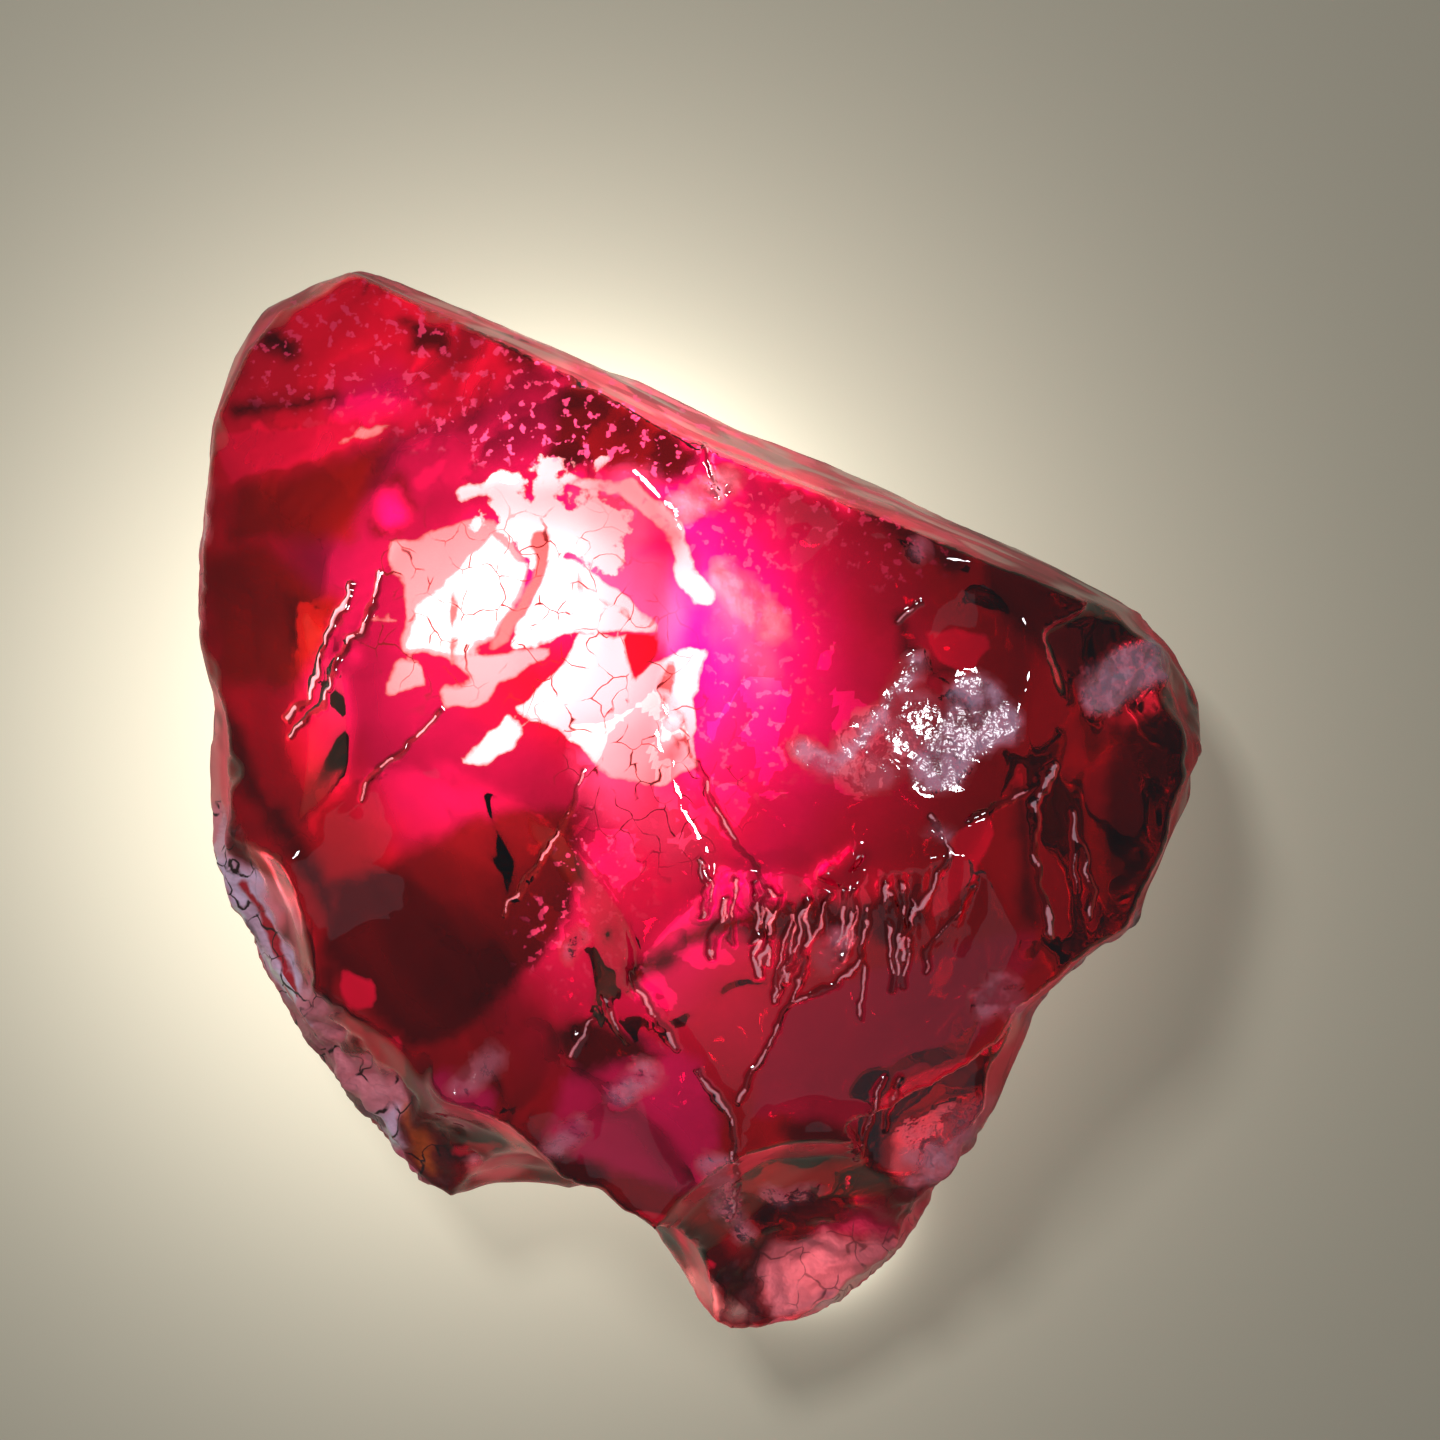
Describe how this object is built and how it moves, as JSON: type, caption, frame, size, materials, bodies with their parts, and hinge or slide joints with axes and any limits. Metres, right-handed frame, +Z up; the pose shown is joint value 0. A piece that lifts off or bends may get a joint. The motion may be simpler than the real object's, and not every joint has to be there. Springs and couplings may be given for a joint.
{
  "type": "rough painite",
  "caption": "Loose fragment of clear, deep red painite with glassy shell-shaped breaks, crisp ridges and a flat face underneath to rest on.",
  "frame": {"origin": "on the resting face, below the middle of the stone's bounding box", "axes": "+Z up; +Y along the stone's length, towards its back apex; +X across it, to the right seen from the front"},
  "size_m": [0.0228, 0.0242, 0.0108],
  "materials": {
    "painite": "clear deep red crystal, polished-looking broken faces, a few frosted and iron-stained patches"
  },
  "bodies": {
    "root": {"painite_crystal": "painite"}
  },
  "joints": []
}
